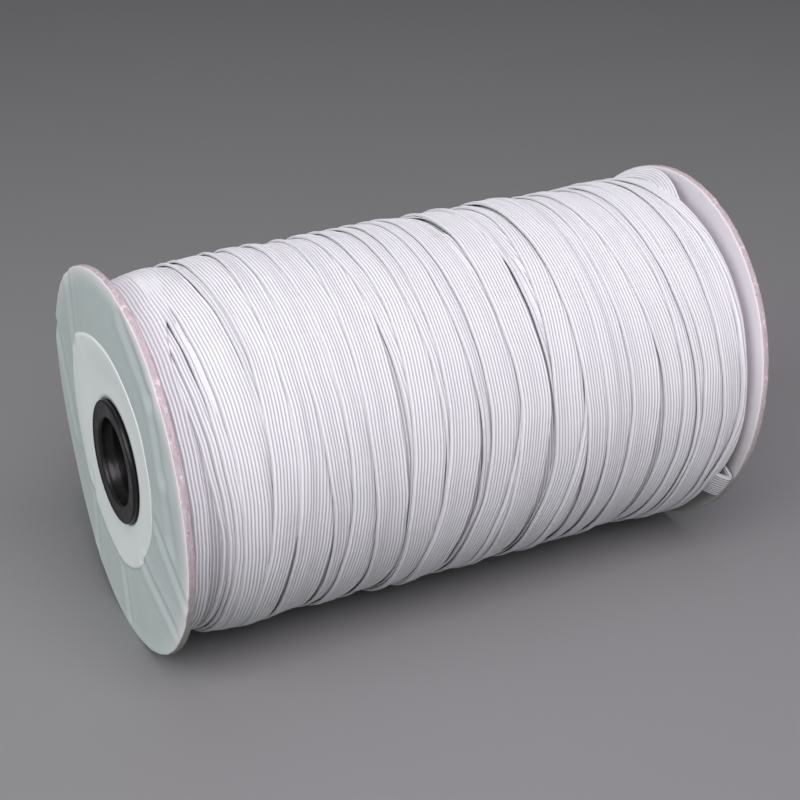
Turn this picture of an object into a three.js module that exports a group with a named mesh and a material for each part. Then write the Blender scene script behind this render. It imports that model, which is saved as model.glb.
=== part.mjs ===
// A reel of flat braided elastic: cardboard core tube, two cardboard discs held on by black
// plastic bushes, a round paper on one disc, and the elastic wound between the discs.
// Millimetres, +Z up. The reel lies on its side with its axis along X. The origin is on the
// surface that it lies on, under the middle of its box.

import * as THREE from "three";

// Driving dimensions of the reel
const discRadius = 47.5;
const discBoard = 1.8;
const discBevel = 0.35;
const reelLength = 155; // over the outer faces of the two discs
const rimFlatDrop = 0.47; // how far each rim is pressed flat where it stands
const farDiscLean = 4.5; // degrees, the top leans away from the winding
const farDiscTurn = 0.6; // degrees, the +Y side turns away from the winding
const discClampRadius = 18; // the bush holds the board square inside this radius
const discFreeRadius = 30; // outside it the board leans as a whole
// How far the near disc's rim stands away from the winding: all round, and as shares of the
// cosine and sine of the angle round it, of twice that angle and of three times it.
const nearDiscWarp = { even: 0.55, waves: [[0, 0.47], [-0.38, 0.4], [-0.15, 0.22]] };
const pieceGap = 0.3;

// Bushes, core tube and paper
const bushRimRadius = 15.3;
const bushRimBoard = 1.5;
const bushRimRound = 0.5;
const bushMouthRadius = 10.7;
const bushBoreRadius = 10;
const bushSleeveRadius = 12.6;
const bushSleeveDepth = 24;
const tubeWall = 3.4;
const paperRadius = 28.9;
const paperBoard = 0.4;
const paperOffset = { y: 3.2, z: 1.4 };
const paperWave = { share: 0.012, lobes: 2, turn: 0.5 };
const paperRipple = { share: 0.006, lobes: 5, turn: 1.9 };

// The wound elastic
const tapeWidth = 8;
const tapeThickness = 0.9;
const windingRadius = 45.6; // over the raised edge of a turn
const windingFootDrop = 0.9; // a turn's other edge dives under its neighbour by this much
const windingCrownShare = 0.3; // share of that drop at the middle of a turn
// The winding is thinner towards the near disc, most at one angle and not at all opposite it
const windingTaper = { from: -38, to: -72, drop: 1.8, angle: 67 };
const lipHalfStep = 0.35; // half the width of the step between two turns
const windingSideGap = 0.6; // to the discs, near the core
const endMargin = 1.4; // a step between turns stays this far from the ends' round edges

// Steps round the reel and along the loose end
const discSteps = 90;
const roundSteps = 48;
const paperSteps = 64;
const paperRings = 5;
const windingSteps = 54;
const looseEndSteps = 20;

// Where the raised left edge of each turn of tape lies along the reel, from one disc to the
// other: on top of the reel, on its shoulder, on its front and low on its front. The same edge
// then runs on round the back to the top of the row before it, one turn nearer the first disc.
const turnEdges = [
  { top: -68.8, shoulder: -67.1, front: -65.7, low: -66.4 },
  { top: -66.2, shoulder: -64.4, front: -63.4, low: -63.7 },
  { top: -55.8, shoulder: -54.4, front: -56.0, low: -59.1 },
  { top: -48.9, shoulder: -48.7, front: -49.6, low: -52.1 },
  { top: -43.5, shoulder: -42.9, front: -42.0, low: -42.1 },
  { top: -37.1, shoulder: -36.5, front: -36.8, low: -38.9 },
  { top: -29.2, shoulder: -30.4, front: -31.0, low: -30.6 },
  { top: -23.3, shoulder: -21.8, front: -21.6, low: -22.7 },
  { top: -13.1, shoulder: -12.9, front: -12.6, low: -15.9 },
  { top: -4.8, shoulder: -3.4, front: -3.0, low: -6.5 },
  { top: -0.9, shoulder: -0.2, front: -0.6, low: -4.4 },
  { top: 8.4, shoulder: 7.8, front: 7.1, low: 3.8 },
  { top: 15.7, shoulder: 16.7, front: 16.6, low: 13.3 },
  { top: 22.3, shoulder: 20.4, front: 21.4, low: 19.6 },
  { top: 26.6, shoulder: 26.1, front: 25.7, low: 25.1 },
  { top: 31.8, shoulder: 31.4, front: 31.1, low: 30.2 },
  { top: 39.4, shoulder: 38.7, front: 38.5, low: 36.1 },
  { top: 44.7, shoulder: 45.4, front: 48.2, low: 45.6 },
  { top: 52.3, shoulder: 53.4, front: 53.9, low: 50.8 },
  { top: 58.7, shoulder: 58.2, front: 59.6, low: 56.3 },
  { top: 64.6, shoulder: 64.7, front: 65.1, low: 63.4 },
  { top: 69.5, shoulder: 71.8, front: 71.1, low: 66.0 },
];
const edgeAngles = { top: 90, shoulder: 130, front: 170, low: 210 };
const firstTurnStart = -72.6; // where the first row's edge comes to on top, by the first disc

// How far along the reel the far end of the winding reaches, at each angle round it
const windingFarEdge = [
  { angle: 90, reach: 75.0 },
  { angle: 120, reach: 75.9 },
  { angle: 165, reach: 74.0 },
  { angle: 190, reach: 73.8 },
  { angle: 205, reach: 72.2 },
  { angle: 215, reach: 69.9 },
  { angle: 270, reach: 68.0 },
  { angle: 330, reach: 71.5 },
];

// Radius of the winding towards its two ends. The near rows are measured from the first disc,
// the far rows from the edge in the table above.
const nearEndProfile = [
  { inward: 0, radius: 40.8 },
  { inward: 1.1, radius: 42.6 },
  { inward: 3.4, radius: 43.9 },
];
const farEndProfile = [
  { inward: 2.8, radius: 45.1 },
  { inward: 0.9, radius: 44.4 },
  { inward: 0, radius: 42.6 },
  { inward: -0.6, radius: 36 },
];

// The tape's loose end, from under the last turn, out towards the far disc and turned down into
// the gap there: place of its middle (along the reel, angle round it, distance from the axis) and
// the direction of its width, as a share along the reel and a share round it.
const looseEnd = [
  { along: 66.8, angle: 211.1, radius: 46.1, widthAlong: 0.06, widthRound: -1 },
  { along: 69.0, angle: 211.1, radius: 46.9, widthAlong: 0.06, widthRound: -1 },
  { along: 71.1, angle: 211.1, radius: 47.6, widthAlong: 0.06, widthRound: -1 },
  { along: 72.3, angle: 211.1, radius: 47.0, widthAlong: 0.06, widthRound: -1 },
  { along: 72.5, angle: 211.1, radius: 45.5, widthAlong: 0.06, widthRound: -1 },
  { along: 72.4, angle: 211.1, radius: 43.8, widthAlong: 0.06, widthRound: -1 },
];

// Worked out from those
const axisHeight = discRadius - rimFlatDrop;
const nearFace = -reelLength / 2;
const farFace = reelLength / 2;
const tubeInner = bushSleeveRadius + pieceGap;
const tubeOuter = tubeInner + tubeWall;
const windingBore = tubeOuter + pieceGap;
const discHole = bushSleeveRadius + pieceGap;
const bushProud = pieceGap + bushRimBoard;
const leanReach = discRadius * Math.tan(THREE.MathUtils.degToRad(farDiscLean));
const boxCentre = (leanReach - bushProud) / 2;

const reel = new THREE.Group();
const colours = {
  discPaper: 0xaeb9b5,
  bush: 0x1a1a1c,
  tube: 0x9a8468,
  paper: 0xd3d8d4,
  elastic: 0xeceaf0,
};

function finish(colour, roughness) {
  return new THREE.MeshStandardMaterial({ color: colour, roughness, metalness: 0 });
}

function place(name, geometry, material) {
  const mesh = new THREE.Mesh(geometry, material);
  mesh.name = name;
  reel.add(mesh);
}

function smoothStep(value, low, high) {
  const share = Math.min(Math.max((value - low) / (high - low), 0), 1);
  return share * share * (3 - 2 * share);
}

// How far the far disc's board stands away along +X, at a point y, z from the axis
function farDiscShift(y, z) {
  const free = smoothStep(Math.hypot(y, z), discClampRadius, discFreeRadius);
  const lean = z * Math.tan(THREE.MathUtils.degToRad(farDiscLean));
  const turn = y * Math.tan(THREE.MathUtils.degToRad(farDiscTurn));
  return free * (lean + turn);
}

// How far the warped near disc's board stands away along -X, at a point y, z from the axis
function nearDiscShift(y, z) {
  const radius = Math.hypot(y, z);
  const angle = Math.atan2(z, y);
  let shift = nearDiscWarp.even;
  nearDiscWarp.waves.forEach(([cosine, sine], i) => {
    const lobe = i + 1;
    const wave = cosine * Math.cos(lobe * angle) + sine * Math.sin(lobe * angle);
    shift += wave * (radius / discRadius) ** lobe;
  });
  return -smoothStep(radius, discClampRadius, discFreeRadius) * shift;
}

// A solid of revolution about the reel's axis. The profile is a closed run of [radius, along].
function turned(profile, segments) {
  const points = profile.map(([radius, along]) => new THREE.Vector2(radius, along));
  points.push(points[0].clone());
  const geometry = new THREE.LatheGeometry(points, segments);
  geometry.rotateZ(-Math.PI / 2);
  return geometry;
}

// Moves each vertex of a geometry that is centred on the axis. Nothing goes below the floor.
function settle(geometry, shift) {
  const position = geometry.attributes.position;
  for (let i = 0; i < position.count; i += 1) {
    const y = position.getY(i);
    const z = position.getZ(i);
    position.setX(i, position.getX(i) + shift(y, z) - boxCentre);
    position.setZ(i, Math.max(z + axisHeight, 0));
  }
  return geometry;
}

const noShift = () => 0;

// Cardboard discs
const bendSteps = 6;
const bendWidth = (discFreeRadius - discClampRadius) / bendSteps;
const discRings = [discHole];
for (let i = 0; i <= bendSteps; i += 1) discRings.push(discClampRadius + i * bendWidth);
const outerRings = [34, 38, 42];
discRings.push(...outerRings);

function disc(outerFace, shift) {
  const inward = -Math.sign(outerFace);
  const innerFace = outerFace + inward * discBoard;
  const low = Math.min(outerFace, innerFace);
  const high = Math.max(outerFace, innerFace);
  const bevelRadius = discRadius - discBevel;
  const profile = [
    ...discRings.map((radius) => [radius, low]),
    [bevelRadius, low],
    [discRadius, low + discBevel],
    [discRadius, high - discBevel],
    [bevelRadius, high],
    ...discRings.map((radius) => [radius, high]).reverse(),
  ];
  return settle(turned(profile, discSteps), shift);
}

const board = finish(colours.discPaper, 0.85);
place("flange_near", disc(nearFace, nearDiscShift), board);
place("flange_far", disc(farFace, farDiscShift), board.clone());

// Bushes: a rim against the disc and a sleeve inside the core tube
function bush(face, outward) {
  const along = (depth) => face - outward * depth;
  const front = -bushProud;
  const profile = [
    [bushRimRadius, along(-pieceGap)],
    [bushRimRadius, along(front + bushRimRound)],
    [bushRimRadius - bushRimRound, along(front)],
    [bushMouthRadius + bushRimRound, along(front)],
    [bushMouthRadius, along(front + bushRimRound)],
    [bushBoreRadius, along(front + 3 * bushRimRound)],
    [bushBoreRadius, along(bushSleeveDepth)],
    [bushSleeveRadius, along(bushSleeveDepth)],
    [bushSleeveRadius, along(-pieceGap)],
  ];
  if (outward < 0) profile.reverse();
  return settle(turned(profile, roundSteps), noShift);
}

const plastic = finish(colours.bush, 0.28);
place("bush_near", bush(nearFace, -1), plastic);
place("bush_far", bush(farFace, 1), plastic.clone());

// Core tube, between the inner faces of the discs
const tubeEnd = reelLength / 2 - discBoard - pieceGap;
const tubeProfile = [
  [tubeInner, -tubeEnd],
  [tubeOuter, -tubeEnd],
  [tubeOuter, tubeEnd],
  [tubeInner, tubeEnd],
];
place("core_tube", settle(turned(tubeProfile, roundSteps), noShift), finish(colours.tube, 0.9));

// A smooth line through knots of { at, value }, with slopes from each knot's neighbours
function smoothLine(knots) {
  const slope = knots.map((knot, i) => {
    const before = knots[Math.max(i - 1, 0)];
    const after = knots[Math.min(i + 1, knots.length - 1)];
    return (after.value - before.value) / (after.at - before.at);
  });
  return (at) => {
    let i = 0;
    while (i < knots.length - 2 && knots[i + 1].at < at) i += 1;
    const span = knots[i + 1].at - knots[i].at;
    const u = (at - knots[i].at) / span;
    const start = (1 + 2 * u) * (1 - u) * (1 - u) * knots[i].value;
    const end = u * u * (3 - 2 * u) * knots[i + 1].value;
    const leave = u * (1 - u) * (1 - u) * span * slope[i];
    const arrive = u * u * (u - 1) * span * slope[i + 1];
    return start + end + leave + arrive;
  };
}

// The one line of the tape's raised edge, from the far end's top to the first disc
const turnCount = turnEdges.length;
const edgeKnots = [];
for (let turn = turnCount - 1; turn >= 0; turn -= 1) {
  const start = 360 * (turnCount - 1 - turn);
  for (const [spot, angle] of Object.entries(edgeAngles)) {
    edgeKnots.push({ at: start + angle, value: turnEdges[turn][spot] });
  }
}
edgeKnots.push({ at: 360 * turnCount + edgeAngles.top, value: firstTurnStart });
const edgeLine = smoothLine(edgeKnots);

// angle runs from 90 on top, over the front, under the reel and up the back to 450
function turnEdge(turn, angle) {
  return edgeLine(360 * (turnCount - 1 - turn) + angle);
}

const farKnots = windingFarEdge.map((row) => ({ at: row.angle, value: row.reach }));
const lastFar = farKnots[farKnots.length - 1];
const wrappedFar = [
  { at: lastFar.at - 360, value: lastFar.value },
  ...farKnots,
  { at: farKnots[0].at + 360, value: farKnots[0].value },
  { at: farKnots[1].at + 360, value: farKnots[1].value },
];
const farEdge = smoothLine(wrappedFar);

// How much thinner the winding is, at a place along it and an angle round it
function taper(along, angle) {
  const share = smoothStep(windingTaper.from - along, 0, windingTaper.from - windingTaper.to);
  const turn = THREE.MathUtils.degToRad(angle - windingTaper.angle);
  return windingTaper.drop * share * (0.5 + 0.5 * Math.cos(turn));
}

// One row of the winding: the run of points from its bore by the near disc, over its outside,
// to its bore by the far disc. Only the middle part changes in number from row to row.
function windingRow(angle) {
  const radians = THREE.MathUtils.degToRad(angle);
  const point = (along, radius) => ({
    x: along,
    y: radius * Math.cos(radians),
    z: radius * Math.sin(radians),
  });
  const nearEnd = nearFace + discBoard + windingSideGap;
  const farEnd = farEdge(angle);
  const near = [point(nearEnd, windingBore)];
  const thinned = (along, radius) => point(along, radius - taper(along, angle));
  for (const row of nearEndProfile) near.push(thinned(nearEnd + row.inward, row.radius));
  const far = farEndProfile.map((row) => point(farEnd - row.inward, row.radius));
  const tubeSide = farFace - discBoard - windingSideGap;
  far.push(point(tubeSide, windingBore));

  const foot = windingRadius - windingFootDrop;
  const crown = windingRadius - windingFootDrop * windingCrownShare;
  const low = nearEnd + nearEndProfile[nearEndProfile.length - 1].inward + endMargin;
  const high = farEnd - farEndProfile[0].inward - endMargin;
  const middle = [];
  for (let turn = 0; turn < turnCount; turn += 1) {
    const edge = turnEdge(turn, angle);
    const next = turn + 1 < turnCount ? turnEdge(turn + 1, angle) : farEnd;
    if (edge < low || edge > high) continue;
    middle.push(thinned(edge - lipHalfStep, foot));
    middle.push(thinned(edge + lipHalfStep, windingRadius));
    const centre = (edge + Math.min(next, high)) / 2;
    if (next - edge > 4 * lipHalfStep && centre < high) middle.push(thinned(centre, crown));
  }
  return { near, middle, far };
}

// A closed solid from rows of points round an axis. Each row is a run from one end to the other;
// rows are joined to their neighbours by always stepping to the nearer next point along X, and
// each row's last point is joined back to its first.
function roundSolid(rows) {
  const vertices = [];
  const numbered = rows.map((row) => {
    const number = (point) => {
      vertices.push(point.x, point.y, point.z);
      return { index: vertices.length / 3 - 1, x: point.x };
    };
    return { near: row.near.map(number), middle: row.middle.map(number), far: row.far.map(number) };
  });
  const faces = [];
  const band = (a, b, c, d) => faces.push(a.index, c.index, b.index, b.index, c.index, d.index);
  numbered.forEach((row, k) => {
    const next = numbered[(k + 1) % numbered.length];
    for (let i = 0; i + 1 < row.near.length; i += 1) {
      band(row.near[i], row.near[i + 1], next.near[i], next.near[i + 1]);
    }
    for (let i = 0; i + 1 < row.far.length; i += 1) {
      band(row.far[i], row.far[i + 1], next.far[i], next.far[i + 1]);
    }
    const left = [row.near[row.near.length - 1], ...row.middle, row.far[0]];
    const right = [next.near[next.near.length - 1], ...next.middle, next.far[0]];
    let i = 0;
    let j = 0;
    while (i + 1 < left.length || j + 1 < right.length) {
      const stepLeft = i + 1 < left.length ? Math.abs(left[i + 1].x - right[j].x) : Infinity;
      const stepRight = j + 1 < right.length ? Math.abs(right[j + 1].x - left[i].x) : Infinity;
      if (stepLeft <= stepRight) {
        faces.push(left[i].index, right[j].index, left[i + 1].index);
        i += 1;
      } else {
        faces.push(left[i].index, right[j].index, right[j + 1].index);
        j += 1;
      }
    }
    band(row.far[row.far.length - 1], row.near[0], next.far[next.far.length - 1], next.near[0]);
  });
  const geometry = new THREE.BufferGeometry();
  geometry.setAttribute("position", new THREE.Float32BufferAttribute(vertices, 3));
  geometry.setIndex(faces);
  return geometry;
}

// Round paper on the near disc, hand cut, with its hole round the bush. Its outline is measured
// from its own middle, then turned into a distance from the reel's axis.
function paperReach(angle) {
  const wave = paperWave.share * Math.cos(paperWave.lobes * (angle - paperWave.turn));
  const ripple = paperRipple.share * Math.cos(paperRipple.lobes * (angle - paperRipple.turn));
  return paperRadius * (1 + wave + ripple);
}

function paperRow(angle) {
  const y = paperOffset.y + paperReach(angle) * Math.cos(angle);
  const z = paperOffset.z + paperReach(angle) * Math.sin(angle);
  const reach = Math.hypot(y, z);
  const hole = bushRimRadius + pieceGap;
  const front = nearFace - pieceGap - paperBoard;
  const back = nearFace - pieceGap;
  const near = [];
  const far = [];
  for (let i = 0; i <= paperRings; i += 1) {
    const radius = hole + ((reach - hole) * i) / paperRings;
    near.push({ x: front, y: (y * radius) / reach, z: (z * radius) / reach });
    far.unshift({ x: back, y: (y * radius) / reach, z: (z * radius) / reach });
  }
  return { near, middle: [], far };
}

const paperRows = [];
for (let k = 0; k < paperSteps; k += 1) paperRows.push(paperRow((2 * Math.PI * k) / paperSteps));
place("paper_disc", settle(roundSolid(paperRows), nearDiscShift), finish(colours.paper, 0.8));

const windingRuns = [];
for (let k = 0; k < windingSteps; k += 1) {
  windingRuns.push(windingRow(edgeAngles.top + (360 * k) / windingSteps));
}
const elastic = finish(colours.elastic, 0.7);
place("winding", settle(roundSolid(windingRuns), noShift), elastic);

// The loose end of the tape: a flat strap through the rows of its table
function looseEndStrap() {
  const line = (name) => smoothLine(looseEnd.map((row, i) => ({ at: i, value: row[name] })));
  const along = line("along");
  const angle = line("angle");
  const radius = line("radius");
  const widthAlong = line("widthAlong");
  const widthRound = line("widthRound");
  const middleAt = (u) => {
    const turn = THREE.MathUtils.degToRad(angle(u));
    const y = radius(u) * Math.cos(turn);
    const z = radius(u) * Math.sin(turn);
    return new THREE.Vector3(along(u), y, z);
  };
  const slopeStep = 0.05;
  const sections = [];
  for (let k = 0; k <= looseEndSteps; k += 1) {
    const u = ((looseEnd.length - 1) * k) / looseEndSteps;
    const turn = THREE.MathUtils.degToRad(angle(u));
    const round = new THREE.Vector3(0, -Math.sin(turn), Math.cos(turn));
    const across = new THREE.Vector3(widthAlong(u), 0, 0).addScaledVector(round, widthRound(u));
    const ahead = middleAt(u + slopeStep).sub(middleAt(u - slopeStep)).normalize();
    across.addScaledVector(ahead, -across.dot(ahead)).normalize();
    const up = new THREE.Vector3().crossVectors(across, ahead).normalize();
    const corner = (side, height) => middleAt(u)
      .addScaledVector(across, (side * tapeWidth) / 2)
      .addScaledVector(up, (height * tapeThickness) / 2);
    sections.push([corner(-1, -1), corner(1, -1), corner(1, 1), corner(-1, 1)]);
  }
  const vertices = sections.flat().flatMap((v) => [v.x, v.y, v.z]);
  const faces = [0, 1, 2, 0, 2, 3];
  for (let k = 0; k < looseEndSteps; k += 1) {
    for (let c = 0; c < 4; c += 1) {
      const a = 4 * k + c;
      const b = 4 * k + ((c + 1) % 4);
      faces.push(a, a + 4, b, b, a + 4, b + 4);
    }
  }
  const last = 4 * looseEndSteps;
  faces.push(last, last + 2, last + 1, last, last + 3, last + 2);
  const geometry = new THREE.BufferGeometry();
  geometry.setAttribute("position", new THREE.Float32BufferAttribute(vertices, 3));
  geometry.setIndex(faces);
  return geometry;
}

place("loose_end", settle(looseEndStrap(), noShift), elastic.clone());

export default reel;
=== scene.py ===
"""A reel of flat braided elastic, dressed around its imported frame.

The reel lies on its side with its axis along X. Tables are in millimetres: "along" is measured
along the reel from its middle, "radius" from its axis, and angles run from 90 on top, over the
front at 180 and under the reel at 270, to 450 on top again.
"""

import math

import bpy
import numpy as np
from bpy.props import FloatProperty, FloatVectorProperty, IntProperty, PointerProperty
from bpy.types import Operator, Panel, PropertyGroup
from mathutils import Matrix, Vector


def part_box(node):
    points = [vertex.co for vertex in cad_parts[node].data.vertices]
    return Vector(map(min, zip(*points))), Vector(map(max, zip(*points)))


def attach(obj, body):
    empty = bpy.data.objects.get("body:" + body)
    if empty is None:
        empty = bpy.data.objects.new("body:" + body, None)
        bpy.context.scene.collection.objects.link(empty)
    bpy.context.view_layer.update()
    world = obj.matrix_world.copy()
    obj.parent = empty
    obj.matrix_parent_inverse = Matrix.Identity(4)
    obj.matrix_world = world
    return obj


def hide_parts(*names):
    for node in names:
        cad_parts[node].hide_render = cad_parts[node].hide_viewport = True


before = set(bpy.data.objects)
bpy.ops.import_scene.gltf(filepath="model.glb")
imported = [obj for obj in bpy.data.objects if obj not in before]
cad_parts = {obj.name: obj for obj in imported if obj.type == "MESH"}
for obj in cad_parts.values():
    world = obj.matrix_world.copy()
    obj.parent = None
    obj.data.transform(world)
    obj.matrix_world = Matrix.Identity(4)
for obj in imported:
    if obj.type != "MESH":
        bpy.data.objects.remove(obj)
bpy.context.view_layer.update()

bl_info = {
    "name": "Reel of elastic",
    "version": (1, 0, 0),
    "blender": (4, 5, 0),
    "location": "3D View > Sidebar > Reel",
    "description": "Dresses a reel of flat braided elastic around its packed frame",
    "category": "Object",
}

BODY = "root"
MM = 0.001

# The frame's own boxes and the place of the reel's axis and middle, in metres
NEAR_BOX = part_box("flange_near")
TUBE_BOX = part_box("core_tube")
BUSH_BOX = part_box("bush_near")
AXIS_HEIGHT = (BUSH_BOX[0].z + BUSH_BOX[1].z) / 2
REEL_MIDDLE = (TUBE_BOX[0].x + TUBE_BOX[1].x) / 2

# Sizes of the frame's solids, in millimetres: two that no box gives, and the rest from the boxes
PIECE_GAP = 0.3
DISC_BOARD = 1.8
DISC_RADIUS = (NEAR_BOX[1].y - NEAR_BOX[0].y) / 2 / MM
HALF_LENGTH = (TUBE_BOX[1].x - REEL_MIDDLE) / MM + PIECE_GAP + DISC_BOARD
TUBE_RADIUS = (TUBE_BOX[1].z - TUBE_BOX[0].z) / 2 / MM
BUSH_RADIUS = (BUSH_BOX[1].z - BUSH_BOX[0].z) / 2 / MM
BUSH_PROUD = (REEL_MIDDLE - BUSH_BOX[0].x) / MM - HALF_LENGTH
BUSH_END = (BUSH_BOX[1].x - REEL_MIDDLE) / MM + HALF_LENGTH

# The bushes: radii of the mouth, the bore and the sleeve, the round of the rim's lip and of the
# mouth, how far in from the rim's edge its face steps down and by how much, the bevel of the
# sleeve's end, and the steps round a bush
BUSH_MOUTH = 10.7
BUSH_BORE = 10.0
BUSH_SLEEVE = 12.6
BUSH_LIP = 0.55
MOUTH_ROUND = 0.9
RIM_STEP_IN = 1.0
RIM_STEP = 0.2
SLEEVE_BEVEL = 0.4
BUSH_STEPS = 120

# The far disc leans and the near disc is warped, as boards held square by their bushes and free
# outside them. The warp is even all round, with shares of the cosine and sine of one, two and
# three times the angle round it.
FAR_LEAN = math.tan(math.radians(4.5))
FAR_TURN = math.tan(math.radians(0.6))
NEAR_WARP = 0.55
NEAR_WARP_WAVES = [(0.0, 0.47), (-0.38, 0.40), (-0.15, 0.22)]
CLAMP_RADIUS = 18
FREE_RADIUS = 30

# A disc's board: its hole, its rounded edges as (how far in, how deep), the places across its
# cut edge, where its papered face ends, how far the cut edge is ragged inwards and outwards as
# shares, its faces' slow swells as depth, waves round it and where they begin, its steps round
# it and its rings
DISC_HOLE = BUSH_SLEEVE + PIECE_GAP
EDGE_ROUND = [(0.36, 0.0), (0.12, 0.10), (0.0, 0.34)]
EDGE_DEPTHS = (0.62, DISC_BOARD / 2, DISC_BOARD - 0.62)
FACE_END = DISC_RADIUS - 0.9
EDGE_RAGGED = (-1, 0.4)
FACE_SWELL = 0.22
SWELL_WAVES = (2, 3, 5)
SWELL_FROM = 20
DISC_STEPS = 420
FACE_RINGS = 30

# Where the raised left edge of each turn of tape lies along the reel, at five places round it
TURN_SPOTS = {"top": 90, "shoulder": 125, "front": 160, "belly": 185, "low": 212}
TURN_EDGES = [
    # top, shoulder, front, belly, low
    (-73.4, -71.6, -69.4, -68.0, -68.8),
    (-71.4, -69.8, -67.7, -66.7, -67.4),
    (-74.2, -74.2, -74.2, -74.2, -74.2),
    (-68.8, -67.2, -65.9, -65.2, -66.4),
    (-66.5, -64.6, -63.3, -63.4, -63.9),
    (-58.1, -56.4, -55.2, -55.9, -57.0),
    (-55.8, -54.5, -55.4, -57.0, -59.0),
    (-48.5, -48.7, -48.9, -50.7, -52.2),
    (-43.5, -43.0, -42.5, -41.5, -42.1),
    (-37.1, -36.6, -36.5, -37.2, -38.9),
    (-29.2, -30.4, -31.1, -30.9, -30.6),
    (-23.3, -21.9, -21.1, -22.3, -22.7),
    (-18.9, -18.6, -20.4, -22.1, -22.5),
    (-13.1, -13.0, -12.4, -13.8, -16.2),
    (-9.7, -10.1, -11.2, -13.6, -16.1),
    (-4.3, -3.9, -2.9, -3.6, -6.2),
    (-0.9, -0.3, -0.1, -2.1, -5.0),
    (8.5, 7.8, 8.0, 3.9, 1.2),
    (8.4, 7.5, 7.9, 5.5, 3.8),
    (15.7, 16.6, 16.9, 16.1, 12.9),
    (22.3, 20.0, 17.1, 16.3, 13.3),
    (25.9, 25.8, 25.6, 22.5, 19.5),
    (25.8, 25.7, 25.5, 25.5, 25.1),
    (31.8, 31.6, 31.3, 31.0, 30.2),
    (39.4, 38.7, 39.1, 37.7, 36.2),
    (44.2, 45.4, 48.1, 48.2, 46.5),
    (52.3, 53.2, 53.9, 53.2, 51.3),
    (55.3, 55.6, 57.3, 57.3, 55.6),
    (58.5, 58.2, 59.7, 58.6, 56.5),
    (64.6, 64.7, 65.0, 65.2, 63.5),
    (69.1, 71.8, 71.3, 70.2, 65.8),
]
FIRST_EDGE = -74.2
LAST_RUN = {280: 64.5, 340: 67.5, 400: 68.3}
LAST_ANGLE = 272

# Where a turn is squeezed narrow or lies out wide: the angles between which it changes to its
# width there and back, and that width
SQUEEZED = {
    0: (92, 106, 142, 165, 2.6),
    1: (92, 106, 142, 165, 2.2),
    2: (94, 128, 300, 390, 3.2),
    5: (94, 110, 132, 146, 2.2),
    6: (170, 190, 250, 300, 5.9),
    7: (160, 180, 250, 300, 9.4),
    16: (92, 100, 190, 250, 9.6),
}
# How unevenly a turn lies: its edge round the hidden back, its edge all round, and its width
BACK_WANDER = {"angles": (290, 370), "reach": 0.7, "seed": 7, "from_turn": 4}
EDGE_WANDER = {"reach": 0.22, "waves": (7.3, 11.9, 23.1), "seed": 12}
WIDTH_WANDER = {"share": 0.05, "waves": (3.1, 6.7, 12.7), "seed": 15}

# How far along the reel the far end of the winding reaches, at each angle round it
FAR_EDGE = {
    60: 74.6, 90: 75.6, 120: 76.4, 145: 75.6, 165: 74.3, 190: 73.8, 205: 72.2, 215: 69.9,
    270: 68.0, 330: 71.5,
}

# The bed, which is the layer under the last one: its radius and how much lower it lies towards
# the near disc, most at one angle, with an even share of that all round. Then the round of its
# far shoulder, how far its far side is built on, where its near side stands, and its swells.
BED_RADIUS = 43.9
NEAR_DROP = {
    -76: 4.4, -72: 3.7, -68.6: 2.9, -63.5: 2.15, -58.4: 1.2, -53.3: 0.7, -47: 0.15, -41: 0.0,
}
DROP_ANGLE = 67
DROP_EVEN, DROP_WAVE = 0.72, 0.28
END_ROUND = 2.0
SIDE_BUILD = 1.4
NEAR_END = -(HALF_LENGTH - DISC_BOARD - 0.6)
BED_SWELL = {"reach": 0.045, "round": (1, 2, 3, 5), "along": (23.0, 41.0, 9.0), "seed": 21}

# The bed's mesh: places along it up to the far shoulder and over the shoulder, and the edges of
# turns on its two sides, as points down a side and how far every second one is notched
BED_PLACES = np.linspace(NEAR_END + 0.4, 60, 90)
SHOULDER = {"start": 60.8, "past_edge": 2.2, "places": 26}
NEAR_SIDE = {"points": 56, "notch": 0.28, "below": 0.5}
FAR_SIDE = {"points": 50, "notch": -0.28, "below": 0.7}

# How tape lies on tape: how high a pile may be before it is pressed and how much it then gives,
# how far covered tape sinks at each angle, how far and softly a tape bridges what is under it
# and hides it, how deep under another a tape begins to sink and is wholly sunk, over how many
# steps its height is evened, and the least relief of the ribs where a turn is squeezed
FULL_STACK = 1.5
STACK_GIVE = 0.75
SINK = {90: 0.08, 130: 0.12, 175: 0.4, 230: 0.4, 330: 0.2}
BRIDGES = {"reach": 0.9, "blur": 0.8}
HIDES = {"reach": 0.5, "blur": 0.3}
SUNK_BETWEEN = (0.15, 0.55)
ALONG_BLUR = 1.6
LEAST_RELIEF = 0.7

# The straps' meshes: steps round the reel, points across a rib, the cells that heights are kept
# in, how the sides bulge and how high, points across the underside, and what part of the rib
# pattern the side walls show. The last layer is cut in three, past the angle where it ends.
ROUND_STEPS = 144
ROUND_ANGLES = 90 + np.arange(ROUND_STEPS) * 360 / ROUND_STEPS
POINTS_A_RIB = 4
CELL = 0.1
CELLS = np.arange(-78, 86, CELL)
SIDE_BULGE = 0.12
UNDER_SHARE = 0.6
UNDER_PLACES = 5
WALL_PATTERN = (0.12, 0.5)
CUT_ANGLE = LAST_ANGLE + 20
RIB_SEED = 3

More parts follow.
